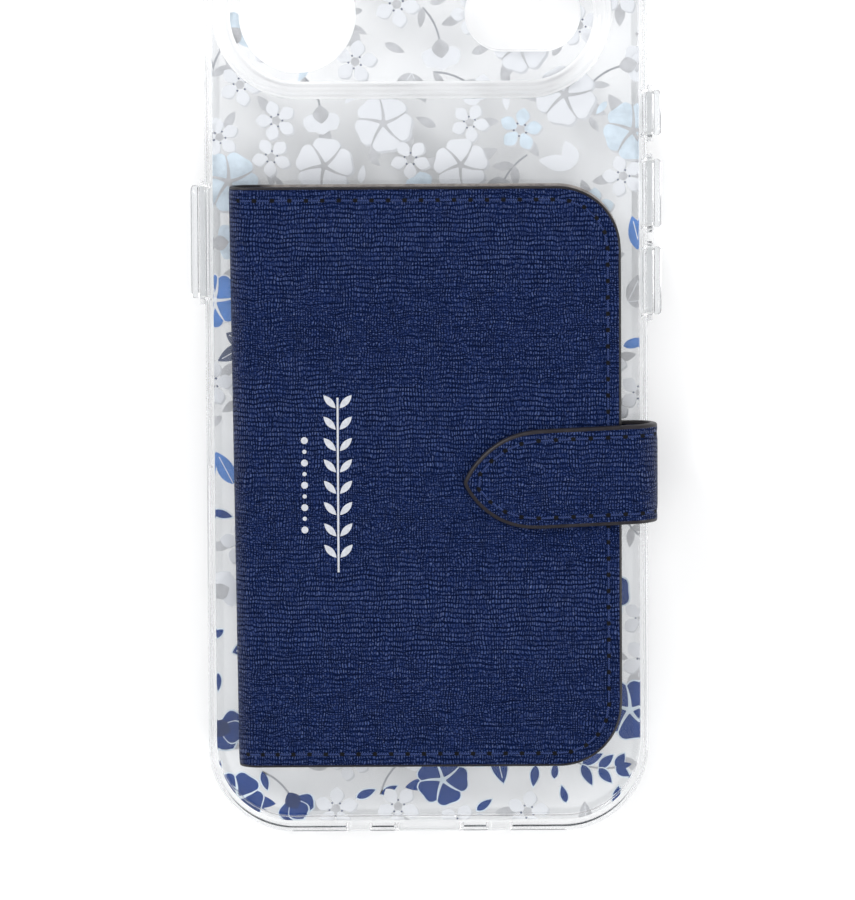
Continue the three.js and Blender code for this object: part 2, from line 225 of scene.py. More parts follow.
class Nodes:
    """Short calls for building a material's node tree."""

    def __init__(self, name):
        self.material = bpy.data.materials.new(name)
        self.material.use_nodes = True
        self.tree = self.material.node_tree
        self.shader = self.tree.nodes["Principled BSDF"]
        self.output = self.tree.nodes["Material Output"]

    def add(self, kind, vector=None, inputs=None, **settings):
        """A node with its settings and socket values, and with its vector linked where one is given."""
        node = self.tree.nodes.new(kind)
        for key, value in settings.items():
            setattr(node, key, value)
        for key, value in (inputs or {}).items():
            node.inputs[key].default_value = value
        if vector is not None:
            self.link(vector, node.inputs["Vector"])
        return node

    def link(self, source, target):
        self.tree.links.new(source, target)

    def set(self, **values):
        for key, value in values.items():
            self.shader.inputs[key.replace("_", " ")].default_value = value

    def feed(self, **sources):
        """Links outputs to the sockets of the shader."""
        for key, source in sources.items():
            self.link(source, self.shader.inputs[key.replace("_", " ")])

    def coordinates(self, scale=(1000, 1000, 1000), flat=False):
        """Texture coordinates in millimetres: the object's own, or the sheet's unrolled ones."""
        if flat:
            source = self.add("ShaderNodeUVMap", uv_map="Flat").outputs["UV"]
        else:
            source = self.add("ShaderNodeTexCoord").outputs["Object"]
        return self.add("ShaderNodeMapping", source, {"Scale": scale}).outputs["Vector"]

    def operate(self, kind, operation, values):
        node = self.add(kind, operation=operation)
        for socket, value in zip(node.inputs, values):
            if isinstance(value, (int, float, tuple)):
                socket.default_value = value
            else:
                self.link(value, socket)
        return node.outputs[0]

    def math(self, operation, a, b):
        return self.operate("ShaderNodeMath", operation, (a, b))

    def vector_math(self, operation, a, b):
        return self.operate("ShaderNodeVectorMath", operation, (a, b))

    def stretch(self, vector, scale):
        return self.vector_math("MULTIPLY", vector, scale)

    def wobble(self, vector, scale, reach):
        """The vector pushed about by noise, up to about half of reach each way."""
        node = self.add("ShaderNodeTexNoise", vector, {"Scale": scale, "Detail": 2})
        centred = self.vector_math("SUBTRACT", node.outputs["Color"], (0.5, 0.5, 0.5))
        return self.vector_math("ADD", vector, self.stretch(centred, (reach, reach, 0)))

    def cell_edges(self, vector, scale, randomness):
        """Distance to the nearest border between jittered cells."""
        node = self.add("ShaderNodeTexVoronoi", feature="DISTANCE_TO_EDGE", voronoi_dimensions="2D",
                        inputs={"Scale": 1, "Randomness": randomness}, vector=self.stretch(vector, scale))
        return node.outputs["Distance"]

    def fade(self, value, share):
        """The value where share is 1, and its rough average where share is 0."""
        average = 0.72
        return self.math("ADD", self.math("MULTIPLY", value, share),
                         self.math("MULTIPLY", self.math("SUBTRACT", 1, share), average))

    def noise(self, vector, scale, detail=3, rough=0.6):
        node = self.add("ShaderNodeTexNoise", vector, {"Scale": scale, "Detail": detail, "Roughness": rough})
        return node.outputs["Fac"]

    def wave(self, vector, direction, period, distortion, detail_scale):
        """Bands that repeat at a period, with their edges broken up."""
        inputs = {"Scale": math.pi / 10 / period, "Distortion": distortion, "Detail": 2,
                  "Detail Scale": detail_scale}
        node = self.add("ShaderNodeTexWave", vector, inputs, bands_direction=direction, wave_profile="SIN")
        return node.outputs["Fac"]

    def remap(self, value, low, high, to_low=0.0, to_high=1.0):
        limits = {"From Min": low, "From Max": high, "To Min": to_low, "To Max": to_high}
        node = self.add("ShaderNodeMapRange", inputs=limits)
        self.link(value, node.inputs["Value"])
        return node.outputs["Result"]

    def ramp(self, value, stops):
        """Colours at stops of (position, colour). The last position may lie above 1."""
        node = self.add("ShaderNodeValToRGB")
        ramp = node.color_ramp
        top = max(1.0, stops[-1][0])
        ramp.elements[0].position, ramp.elements[0].color = stops[0][0] / top, stops[0][1]
        ramp.elements[1].position, ramp.elements[1].color = stops[-1][0] / top, stops[-1][1]
        for position, colour in stops[1:-1]:
            ramp.elements.new(position / top).color = colour
        self.link(self.math("DIVIDE", value, top) if top > 1 else value, node.inputs["Fac"])
        return node.outputs["Color"]

    def bump(self, height, distance_mm):
        node = self.add("ShaderNodeBump", inputs={"Distance": distance_mm * MM})
        self.link(height, node.inputs["Height"])
        self.feed(Normal=node.outputs["Normal"])


FLAT_SCALE = (100, 100, 100)  # the sheets' UV unit is 100 mm


def cross_grain_leather(name, dark, mid, light):
    """Pressed cross-hatched leather: uneven rows of small pads with creases along and across. Its colour
    follows their height: the creases are darkened as painted shade and the pads and ticks lightened as
    painted highlight, and the specular level falls away in the creases as painted shade too.
    """
    n = Nodes(name)
    at = n.coordinates(FLAT_SCALE, flat=True)
    at = n.wobble(n.wobble(at, 0.22, 1.3), 1.7, 0.3)
    pads = n.remap(n.cell_edges(at, (1 / 0.46, 1 / 0.8, 1), 0.55), 0.0, 0.2)
    creases = n.remap(n.wave(at, "Y", 0.82, 3.0, 0.6), 0.03, 0.45)
    ribs = n.remap(n.wave(at, "X", 0.46, 2.6, 0.6), 0.03, 0.5)
    along = n.remap(n.noise(n.stretch(at, (0.35, 1.3, 1)), 0.6, 2), 0.36, 0.58)
    across = n.remap(n.noise(n.stretch(at, (1.3, 0.35, 1)), 0.5, 2), 0.38, 0.56)
    height = n.math("MULTIPLY", pads, n.fade(creases, along))
    height = n.math("MULTIPLY", height, n.fade(ribs, across))
    fine = n.noise(at, 3.6, 3)
    height = n.math("ADD", n.math("MULTIPLY", height, 0.75), n.math("MULTIPLY", fine, 0.42))
    # fine ticks on the pads: they raise the grain and, through the colour, add painted highlight
    ticks_and_highlight = n.remap(n.noise(n.stretch(at, (2.6, 1.0, 1)), 1.0, 1), 0.5, 0.68)
    height = n.math("ADD", height, n.math("MULTIPLY", n.math("MULTIPLY", ticks_and_highlight, pads), 0.28))
    # the height sets the colour: dark is painted shade in the creases, light is painted highlight on the
    # crests
    colour = n.ramp(height, [(0.15, dark), (0.55, mid), (1.2, light)])
    n.set(Specular_IOR_Level=0.35)
    n.feed(Base_Color=colour, Roughness=n.remap(height, 0.2, 1.2, 0.46, 0.26),
           Specular_IOR_Level=n.remap(height, 0.38, 1.05, 0.06, 0.85))
    n.bump(height, 0.22)
    return n.material


def painted_edge(name, colour, lit_back_colour=None):
    """Several coats of edge paint, a little uneven. The back sheet's edge can be painted paler than the
    cover's, a painted highlight for light falling on it from above, while the dark paint runs on round the
    fold as painted shade in the gap there.
    """
    n = Nodes(name)
    coat = n.noise(n.coordinates(), 0.9, 3)
    front, back = [n.ramp(coat, [(0.3, shaded(tint, 0.72)), (0.7, shaded(tint, 1.3))])
                   for tint in (colour, lit_back_colour or colour)]
    # painted light: the back sheet's edge turns to the paler colour, a painted highlight, only 7 to 10 mm
    # along from the fold's outer line; the dark paint before that is painted shade in the gap at the fold
    place = n.add("ShaderNodeSeparateXYZ", n.coordinates(FLAT_SCALE, flat=True))
    mix = n.add("ShaderNodeMix", data_type="RGBA")
    n.link(n.remap(place.outputs["X"], -10, -7), mix.inputs["Factor"])
    n.link(back, mix.inputs[6])
    n.link(front, mix.inputs[7])
    n.feed(Base_Color=mix.outputs[2], Roughness=n.remap(coat, 0.3, 0.7, 0.34, 0.5))
    n.bump(coat, 0.03)
    return n.material


def woven_lining(name, dark, light):
    n = Nodes(name)
    at = n.coordinates(FLAT_SCALE, flat=True)
    warp = n.wave(at, "X", 0.36, 0.6, 1)
    weft = n.wave(at, "Y", 0.36, 0.6, 1)
    weave = n.math("MULTIPLY", warp, weft)
    height = n.math("ADD", weave, n.math("MULTIPLY", n.noise(at, 2.4, 3), 0.4))
    n.feed(Base_Color=n.ramp(height, [(0.1, dark), (0.9, light)]))
    n.bump(height, 0.05)
    n.set(Roughness=0.85, Sheen_Weight=0.25, Sheen_Roughness=0.5)
    return n.material


def thread(name, dark, light):
    n = Nodes(name)
    twist = n.wave(n.coordinates(), "DIAGONAL", 0.16, 0.4, 1)
    # the twist is real and raised by the bump; its colour's dark and light ends are painted shade between
    # the plies and painted highlight on them
    n.feed(Base_Color=n.ramp(twist, [(0.1, dark), (0.9, light)]))
    n.bump(twist, 0.03)
    n.set(Roughness=0.6, Specular_IOR_Level=0.15)
    return n.material


def clear_plastic(name, tint, roughness, ior):
    """Clear moulded plastic. Light shines straight through it on to what lies below, and light that would
    run on inside it gets out."""
    n = Nodes(name)
    n.set(Transmission_Weight=1.0, IOR=ior, Base_Color=tint)
    smear = n.noise(n.coordinates(), 0.08, 2)
    n.feed(Roughness=n.remap(smear, 0.3, 0.7, roughness, roughness + 0.04))
    through = n.add("ShaderNodeBsdfTransparent", inputs={"Color": tint})
    path = n.add("ShaderNodeLightPath")
    mix = n.add("ShaderNodeMixShader")
    straight = n.math("MAXIMUM", path.outputs["Is Shadow Ray"], path.outputs["Is Diffuse Ray"])
    trapped = n.math("GREATER_THAN", path.outputs["Ray Depth"], 2.5)
    n.link(n.math("MAXIMUM", straight, trapped), mix.inputs["Fac"])
    n.link(n.shader.outputs["BSDF"], mix.inputs[1])
    n.link(through.outputs["BSDF"], mix.inputs[2])
    n.link(mix.outputs["Shader"], n.output.inputs["Surface"])
    return n.material


def ink(name, colour, spread=0.12):
    """Printed ink, a little blotchy like a watercolour wash."""
    n = Nodes(name)
    wash = n.noise(n.coordinates(), 0.35, 4, 0.65)
    low, high = shaded(colour, 1 - spread), shaded(colour, 1 + spread, 0.003)
    n.feed(Base_Color=n.ramp(wash, [(0.35, low), (0.65, high)]))
    n.set(Roughness=0.45, Specular_IOR_Level=0.05)
    return n.material


def milky_film(name, colour, cover):
    """A thin film that is a little milky, uneven like a coating."""
    n = Nodes(name)
    coat = n.noise(n.coordinates(), 0.12, 3)
    n.feed(Base_Color=n.ramp(coat, [(0.35, shaded(colour, 0.94)), (0.65, shaded(colour, 1.04))]))
    n.set(Alpha=cover, Roughness=0.6, Specular_IOR_Level=0.1)
    return n.material


def plain(name, colour, roughness, metallic=0.0, grain=1.2, depth=0.01):
    """A solid material with fine grain: metal, board or coating."""
    n = Nodes(name)
    speck = n.noise(n.coordinates(), grain, 3)
    n.feed(Base_Color=n.ramp(speck, [(0.3, shaded(colour, 0.86)), (0.7, shaded(colour, 1.1))]),
           Roughness=n.remap(speck, 0.3, 0.7, roughness * 0.85, roughness * 1.15))
    n.set(Metallic=metallic)
    n.bump(speck, depth)
    return n.material


# the dark and light colours are painted crease shade and painted crest highlight round the navy mid colour
leather = cross_grain_leather("navy leather, painted crease shade and highlights", srgb(2, 9, 33), srgb(7, 31, 80), srgb(54, 78, 134))
edge_paint = painted_edge("dark edge paint", srgb(34, 31, 36))
# its paler back colour is a painted highlight on the back sheet's edge, lit from above
wrap_paint_lit_and_shaded = painted_edge("wallet edge paint, lit back and shaded fold", srgb(30, 28, 32), srgb(152, 146, 142))
lining_cloth = woven_lining("navy lining", srgb(16, 22, 44), srgb(44, 54, 88))
# thread: its light colour is a painted highlight on the plies, its dark colour painted shade between them
navy_thread = thread("navy thread", srgb(10, 18, 52), srgb(64, 82, 134))
# needle holes: a near-black colour that paints the shade inside each hole
hole_shade_paint = plain("needle hole", srgb(1, 2, 8), 0.95)
hard_clear = clear_plastic("clear hard plastic", (0.972, 0.976, 0.98, 1), 0.02, 1.46)
soft_clear = clear_plastic("clear soft plastic", (0.985, 0.988, 0.99, 1), 0.03, 1.44)
button_clear = clear_plastic("clear button plastic", (0.94, 0.948, 0.955, 1), 0.02, 1.49)
film_clear = milky_film("clear print film", srgb(222, 225, 229), 0.13)
foil = plain("silver foil", srgb(214, 217, 224), 0.35, metallic=0.25, grain=2.5)
magnet_coat = plain("white coated magnet", srgb(232, 234, 238), 0.5)
nickel = plain("nickel plate", srgb(190, 190, 194), 0.3, metallic=1.0)
rolled_steel = plain("rolled steel", srgb(150, 152, 156), 0.38, metallic=1.0)
fibre_board = plain("fibre board", srgb(128, 120, 110), 0.9, grain=3.0, depth=0.04)

# ---- sheets that bend round a fold ----


class Bend:
    """A sheet's way round a half turn. s is the distance along its outer face, 0 at the outermost line."""

    def __init__(self, x, z, radius, side, lean=0.0):
        self.x, self.z, self.radius, self.side, self.lean = x, z, radius, side, lean
        self.quarter = math.pi * radius / 2

    def leaning(self, s, y):
        """The fold bulges out a little more towards the wallet's upper end."""
        fading = min(max(1 - (abs(s) - self.quarter) / 8, 0), 1)
        return self.side * self.lean * (y - MIDDLE_Y) / HALF_HEIGHT * fading * fading

    def place(self, s, y, depth):
        """The point at (s, y), depth below the outer face."""
        r = self.radius - depth
        x = self.x + self.leaning(s, y)
        if abs(s) <= self.quarter:
            turn = s / self.radius
            return (x + self.side * r * math.cos(turn), y, self.z + r * math.sin(turn))
        level = 1 if s > 0 else -1
        return (x - self.side * (abs(s) - self.quarter), y, self.z + level * r)


class Flat:
    """A flat sheet: s is x, and the outer face is at height top."""

    def __init__(self, top, side=1):
        self.top, self.side = top, side

    def place(self, s, y, depth):
        return (s, y, self.top - self.side * depth)


def spread(stops):
    """Positions from stops of (start, end, step): evenly spaced in each stretch."""
    positions = []
    for start, end, step in stops:
        count = max(1, round(abs(end - start) / step))
        positions += [start + (end - start) * i / count for i in range(count)]
    positions.append(stops[-1][1])
    return positions


EDGE_PROFILE = ((0.55, 0.02), (0.86, 0.14), (1.0, 0.36), (1.0, 0.64), (0.86, 0.86), (0.55, 0.98))


def grid_faces(nc, nr, flip):
    """Faces and slots of a sheet's outer and inner side, each a grid of nc columns of nr points."""
    faces, slots = [], []
    for c in range(nc - 1):
        for r in range(nr - 1):
            a, b = c * nr + r, (c + 1) * nr + r
            quad = (a, b, b + 1, a + 1)
            back = tuple(i + nc * nr for i in quad)
            faces += [quad[::-1], back] if flip else [quad, back[::-1]]
            slots += [0, 2]
    return faces, slots


def grid_border(nc, nr):
    """The (column, row) places round a grid's rim."""
    loop = [(c, 0) for c in range(nc)] + [(nc - 1, r) for r in range(1, nr)]
    return loop + [(c, nr - 1) for c in range(nc - 2, -1, -1)] + [(0, r) for r in range(nr - 2, 0, -1)]


def sheet(name, way, columns, rows, sides, thickness, rim, materials, relief=None):
    """A sheet with rounded, painted edges. columns are places along it, sides(s) gives its lowest and
    highest y there inside the rim, and rows are shares of that height. Its materials are those of the
    outer face, the edge and the inner face."""
    grid = []
    for s in columns:
        low, high = sides(s)
        grid.append([(s, low + (high - low) * v) for v in rows])
    nc, nr = len(columns), len(rows)
    points, uvs = [], []
    for depth in (0.0, thickness):
        for column in grid:
            for s, y in column:
                sunk = relief(s, y) if relief and depth == 0 else 0
                points.append(way.place(s, y, depth + sunk))
                uvs.append((s / 100, y / 100))
    flip = way.side < 0
    faces, slots = grid_faces(nc, nr, flip)
    loop = grid_border(nc, nr)
    flat = [grid[c][r] for c, r in loop]
    count = len(loop)
    headings = [heading_of(flat[i - 1], flat[(i + 1) % count]) for i in range(count)]
    previous = [c * nr + r for c, r in loop]
    last = [i + nc * nr for i in previous]
    for out, share in EDGE_PROFILE:
        start = len(points)
        for (s, y), heading in zip(flat, headings):
            sunk = relief(s, y) * (1 - share) if relief else 0
            s, y = beside(s, y, heading, 0, -rim * out)
            points.append(way.place(s, y, thickness * share + sunk))
            uvs.append((s / 100, y / 100))
        ring = list(range(start, start + count))
        add_band(faces, slots, previous, ring, flip)
        previous = ring
    add_band(faces, slots, previous, last, flip)
    return make_object(name, points, faces, materials, slots, uvs, 50)


def add_band(faces, slots, upper, lower, flip):
    count = len(upper)
    for i in range(count):
        j = (i + 1) % count
        quad = (upper[j], upper[i], lower[i], lower[j])
        faces.append(quad[::-1] if flip else quad)
        slots.append(1)


def corner_inset(distance, radius):
    """How far a round corner pulls the side in, at a distance from the end."""
    if distance >= radius:
        return 0
    return radius - math.sqrt(max(radius ** 2 - (radius - distance) ** 2, 0))


EDGE_ROWS = [i / 100 for i in (0, 0.6, 1.2, 1.8, 2.3, 2.9, 3.6, 4.5, 6, 9, 14, 20, 28, 36, 44)]
ROWS = EDGE_ROWS + [0.5] + [1 - v for v in reversed(EDGE_ROWS)]

# ---- stitching ----


def walk(line, pitch):
    """Points a pitch apart along a polyline, with the pitch fitted to its length."""
    lengths = [math.dist(a, b) for a, b in zip(line, line[1:])]
    total = sum(lengths)
    count = max(1, round(total / pitch))
    stops, passed, k = [], 0.0, 0
    for i in range(count + 1):
        target = total * i / count
        while k < len(lengths) - 1 and passed + lengths[k] < target:
            passed += lengths[k]
            k += 1
        t = min((target - passed) / lengths[k], 1)
        a, b = line[k], line[k + 1]
        stops.append((a[0] + (b[0] - a[0]) * t, a[1] + (b[1] - a[1]) * t))
    return stops


THREAD_ARC = ((0.0, -0.05), (0.14, 0.11), (0.5, 0.19), (0.86, 0.11), (1.0, -0.05))  # share, height
THREAD_FLATNESS = 0.75
HOLE_RINGS = ((1.0, -0.05), (0.86, 0.11))  # size, height
HOLE_LENGTH, HOLE_WIDTH = 0.58, 0.42


def ellipse(sides, a, b):
    turns = [2 * math.pi * j / sides for j in range(sides)]
    return [(a * math.cos(turn), b * math.sin(turn)) for turn in turns]


def stitches(name, way, line, pitch, lift=0.0, thread_radius=0.18):
    """Lock stitches along a line on a sheet: a thread that dives into a needle hole at each end. Each hole
    is a near-black disc, painted shade standing in for the shadow down the hole.
    """
    points, faces, slots = [], [], []
    stops = walk(line, pitch)
    section = ellipse(6, thread_radius, thread_radius * THREAD_FLATNESS)
    for a, b in zip(stops, stops[1:]):
        rings = []
        for t, height in THREAD_ARC:
            k = 0.1 + 0.8 * t
            s, y = a[0] + (b[0] - a[0]) * k, a[1] + (b[1] - a[1]) * k
            rings.append([way.place(*beside(s, y, heading_of(a, b), 0, off), -(height + up + lift))
                          for off, up in section])
        add_tube(points, faces, slots, rings, 0)
    for k, stop in enumerate(stops):
        heading = heading_of(stops[max(k - 1, 0)], stops[min(k + 1, len(stops) - 1)])
        rings = [[way.place(*beside(*stop, heading, p, q), -(height + lift))
                  for p, q in ellipse(10, HOLE_LENGTH * size, HOLE_WIDTH * size)]
                 for size, height in HOLE_RINGS]
        add_tube(points, faces, slots, rings, 1)
    return make_object(name, points, faces, [navy_thread, hole_shade_paint], slots)


# ---- the wallet ----

fold = Bend(FOLD_X, FOLD_Z, FOLD_RADIUS, -1, 0.55)
WALLET_LOW, WALLET_HIGH, WALLET_RIGHT = cover_low[1], cover_high[1], cover_high[0]
SHEET_END = fold.quarter + WALLET_RIGHT - FOLD_X
STITCH_INSET, STITCH_PITCH, STITCH_LIFT = 2.3, 2.85, -0.16
RIM = 0.42


def wallet_distance(s, y):
    """How far inside the unrolled leather's edge a point lies."""
    ds = abs(s) - (SHEET_END - WALLET_CORNER)
    dy = abs(y - MIDDLE_Y) - (HALF_HEIGHT - WALLET_CORNER)
    outside = math.hypot(max(ds, 0), max(dy, 0))
    return WALLET_CORNER - outside - min(max(ds, dy), 0)


def wallet_relief(s, y):
    """Sinks the stitch line a little and lets the panel rise slightly inside it."""
    near = wallet_distance(s, y)
    sewn = min(max((abs(s) - fold.quarter + 3) / 1.5, 0), 1)
    groove = 0.13 * math.exp(-(((near - STITCH_INSET) / 0.65) ** 2)) * sewn
    roll = 0.10 * math.exp(-((near / 0.9) ** 2))
    return groove + roll


def wallet_sides(s):
    pull = corner_inset(SHEET_END - RIM - abs(s), WALLET_CORNER - RIM)
    return WALLET_LOW + RIM + pull, WALLET_HIGH - RIM - pull


def wallet_columns():
    end = SHEET_END - RIM
    upper = [(0, fold.quarter + 1, 0.35), (fold.quarter + 1, end - 12, 2.5), (end - 12, end - 5, 0.7)]
    upper += [(end - 5, end - 1, 0.35), (end - 1, end, 0.12)]
    right = spread(upper)
    return [-s for s in reversed(right[1:])] + right


def perimeter_line(sign, inset):
    """The stitch line of a panel: along its lower side, round the corners and back along its upper side."""
    start = fold.quarter - 2.0
    end, low, high = SHEET_END - inset, WALLET_LOW + inset, WALLET_HIGH - inset
    radius = WALLET_CORNER - inset
    line = [(start, low)]
    for centre_y, first in ((low + radius, -90), (high - radius, 0)):
        line += [polar(end - radius, centre_y, radius, math.radians(first + 90 * i / 12)) for i in range(13)]
    line.append((start, high))
    return [(sign * s, y) for s, y in line]


def bend_with(piece):
    """Fixes the piece's placement into its mesh."""
    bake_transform(piece)


wrap = sheet("wallet_wrap", fold, wallet_columns(), ROWS, wallet_sides, LEATHER, RIM,
             [leather, wrap_paint_lit_and_shaded, lining_cloth], wallet_relief)
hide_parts("wallet_back_leather", "cover_leather")
bend_with(wrap)

for name, side, body in (("cover_stitches", 1, "cover"), ("back_stitches", -1, "wallet_base")):
    seam = stitches(name, fold, perimeter_line(side, STITCH_INSET), STITCH_PITCH, STITCH_LIFT)
    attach(seam, body)


def inner_panel(node, body, materials, corner, top_side=1, stitched=False):
    """A flat inner layer of the wallet in place of its CAD slab, with round corners at the right."""
    low, high = extent(node)
    thickness = high[2] - low[2]
    rim = 0.22
    right = high[0] - rim

    def sides(s):
        pull = corner_inset(right - s, corner - rim)
        return low[1] + rim + pull, high[1] - rim - pull

    columns = spread([(low[0] + rim, right - 12, 4), (right - 12, right - 1, 0.9), (right - 1, right, 0.15)])
    rows = [0, 0.01, 0.02, 0.05, 0.1, 0.2, 0.35, 0.5, 0.65, 0.8, 0.9, 0.95, 0.98, 0.99, 1]
    way = Flat(high[2] if top_side > 0 else low[2], top_side)
    made = sheet(node.replace("card_", "") + "_panel", way, columns, rows, sides, thickness, rim, materials)
    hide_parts(node)
    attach(made, body)
    if stitched:
        x = low[0] + 1.8
        line = [(x, low[1] + 3), (x, high[1] - 3)]
        seam = stitches(made.name + "_stitches", way, line, STITCH_PITCH, lift=-0.05, thread_radius=0.16)
        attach(seam, body)
    return made


panel_leather = [leather, edge_paint, lining_cloth]
panel_lining = [lining_cloth, edge_paint, lining_cloth]
inner_corner = WALLET_CORNER - 0.5
inner_panel("wallet_base_lining", "wallet_base", panel_lining, inner_corner)
for pocket in ("card_pocket_back", "card_pocket_middle", "card_pocket_front"):
    inner_panel(pocket, "wallet_base", panel_leather, inner_corner, 1, True)
inner_panel("cover_lining", "cover", panel_lining, inner_corner, -1)
inner_panel("cover_slip_pocket", "cover", panel_leather, inner_corner, -1, True)

# ---- the strap ----

strap_way = Bend(STRAP_X, STRAP_Z, STRAP_RADIUS, 1)
STRAP_RIM = 0.66
STRAP_END = strap_way.quarter + STRAP_X - flap_low[0]
STRAP_START = -(strap_way.quarter + STRAP_X - root_low[0])
POINT_LENGTH = 14.0


def strap_half_width(s):
    """Half the strap's width: straight, then drawn in to a blunt point."""
    reach = min(max((STRAP_END - s) / POINT_LENGTH, 0), 1)
    flare = 0.3 * math.exp(-((s / 14) ** 2))
    return (STRAP_HALF + flare) * (1 - (1 - reach) ** 2.4) ** 0.8


def strap_skew(s):
    """The flap lies slightly askew: its line drifts along the wallet towards the tip."""
    return STRAP_Y + 0.6 - 0.045 * max(s - strap_way.quarter, -3)


def strap_inner(inset):
    """The strap's outline moved in by inset, from the root along one side to the tip: (s, half width)."""
    fine = [STRAP_END - POINT_LENGTH * (1 - math.cos(math.pi / 2 * i / 28)) for i in range(29)]
    outer = [(STRAP_START, STRAP_HALF)] + [(s, strap_half_width(s)) for s in reversed(fine)]
    moved = []
    for i in range(len(outer)):
        heading = heading_of(outer[max(i - 1, 0)], outer[min(i + 1, len(outer) - 1)])
        point = beside(*outer[i], heading, 0, -inset)
        if point[1] > 0.05 and (not moved or point[0] > moved[-1][0] + 0.01):
            moved.append(point)
    return moved


def width_along(outline, s):
    for (s0, w0), (s1, w1) in zip(outline, outline[1:]):
        if s <= s1:
            return w0 + (w1 - w0) * (s - s0) / (s1 - s0)
    return outline[-1][1]


strap_outline = strap_inner(STRAP_RIM)


def strap_sides(s):
    half = width_along(strap_outline, s)
    middle = strap_skew(s)
    return middle - half, middle + half


def strap_relief(s, y):
    near = strap_half_width(s) - abs(y - strap_skew(s))
    tip = (STRAP_END - s) * 0.75
    near = min(near, tip) if s > STRAP_END - POINT_LENGTH else near
    return 0.12 * math.exp(-(((near - 2.1) / 0.6) ** 2)) + 0.12 * math.exp(-((near / 1.0) ** 2))


tip_s = strap_outline[-1][0]
strap_columns = spread([
    (STRAP_START + 0.3, -strap_way.quarter, 1.0),
    (-strap_way.quarter, strap_way.quarter, 0.3),
    (strap_way.quarter, STRAP_END - POINT_LENGTH, 1.2),
    (STRAP_END - POINT_LENGTH, tip_s - 2, 0.45),
    (tip_s - 2, tip_s, 0.15),
])
strap_rows = [0, 0.03, 0.07, 0.11, 0.15, 0.2, 0.3, 0.4, 0.5, 0.6, 0.7, 0.8, 0.85, 0.89, 0.93, 0.97, 1]
strap_piece = sheet("strap", strap_way, strap_columns, strap_rows, strap_sides, STRAP_THICKNESS, STRAP_RIM,
                    [leather, edge_paint, leather], strap_relief)
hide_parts("strap_root_leather", "strap_root_lining",
            "strap_flap_leather", "strap_flap_lining")
bend_with(strap_piece)

STRAP_SEAM_INSET, STRAP_SEAM_PITCH = 1.9, 3.05
seam_start = strap_way.quarter * 0.3
half_line = [(seam_start, STRAP_HALF - STRAP_SEAM_INSET)]
half_line += [p for p in strap_inner(STRAP_SEAM_INSET) if p[0] > seam_start]
whole_line = [(s, strap_skew(s) + w) for s, w in half_line]
whole_line += [(s, strap_skew(s) - w) for s, w in reversed(half_line)]
strap_stitches = stitches("strap_stitches", strap_way, whole_line, STRAP_SEAM_PITCH, lift=-0.14)
bend_with(strap_stitches)

# ---- the clear case ----

CASE_CORNER, PLATE_CORNER, PRINT_CORNER = 15, 13.35, 13.3
PLATE_BOTTOM, PLATE_TOP = 7.3, 8.8
BAY_FLOOR = 1.3  # top of the lip round the screen
PHONE_BAY, SCREEN_OPENING = (37.4, 78.2, 13.7), (35.9, 76.8, 12.2)  # half width, half height, corner
PORTS = ((0, 6.15, 2.5), (-12.3, 2.3, 1.2), (12.3, 2.3, 1.2))  # x, half width, half height
CAMERA_KEY = {"y": -25.7, "inner": 8.4, "outer": 11.9, "low": 2.15, "high": 6.5}
MAGNET_GROOVE = (22.85, 28.15)  # inner and outer radius
MAGNET_BAR_GROOVE = (-3.15, 3.15, -50.65, -31.35)
GROOVE_TOP = 7.95
HUMP = {"left": -36.9, "right": 32.3, "low": 48.9, "high": 78.5, "draft": 1.9, "wall": 1.3}
LENS = (-22.1, 63.7, 9.8)
FLASH = {"left": 7.2, "right": 26.6, "y": 63.7, "half": 6.3}
MID_Z = (extent("side_button")[0][2] + extent("side_button")[1][2]) / 2


def inset_outline(low, high, corner, inset=0.0):
    """The outline of a box from low to high with round corners, moved in by inset."""
    return rounded_outline(low[0] + inset, high[0] - inset, low[1] + inset, high[1] - inset,
                           corner - inset, 20)


def centred_outline(half_x, half_y, corner, inset=0.0):
    return inset_outline((-half_x, -half_y), (half_x, half_y), corner, inset)


def case_outline(inset):
    return centred_outline(CASE_HALF_X, CASE_HALF_Y, CASE_CORNER, inset)


def hump_outline(inset):
    radius = (HUMP["high"] - HUMP["low"]) / 2 - inset - 0.01
    return rounded_outline(HUMP["left"] + inset, HUMP["right"] - inset, HUMP["low"] + inset,
                           HUMP["high"] - inset, radius, 24)


def prism(outline, low, high):
    return loft("cutter", [[(x, y, z) for x, y in outline] for z in (low, high)], [])


def side_prism(outline_yz, x_low, x_high):
    """A cutter along X from points (y, z)."""
    return loft("cutter", [[(x, y, z) for y, z in outline_yz] for x in (x_low, x_high)], [])


def end_prism(outline_xz, y_low, y_high):
    """A cutter along Y from points (x, z)."""
    return loft("cutter", [[(x, y, z) for x, z in reversed(outline_xz)] for y in (y_low, y_high)], [])


def plate_outline(inset):
    return inset_outline(plate_low, plate_high, PLATE_CORNER, inset)


def button_outline(low, high, gap_y, gap_z, corner, segments=6):
    """An outline (y, z) round a button's box."""
    return rounded_outline(low[1] - gap_y, high[1] + gap_y, low[2] - gap_z, high[2] + gap_z,
                           corner, segments)


def side_of(high, near, far):
    """The x range from near to far on the side of the case that a button's box is on."""
    return (near, far) if high[0] > 0 else (-far, -near)


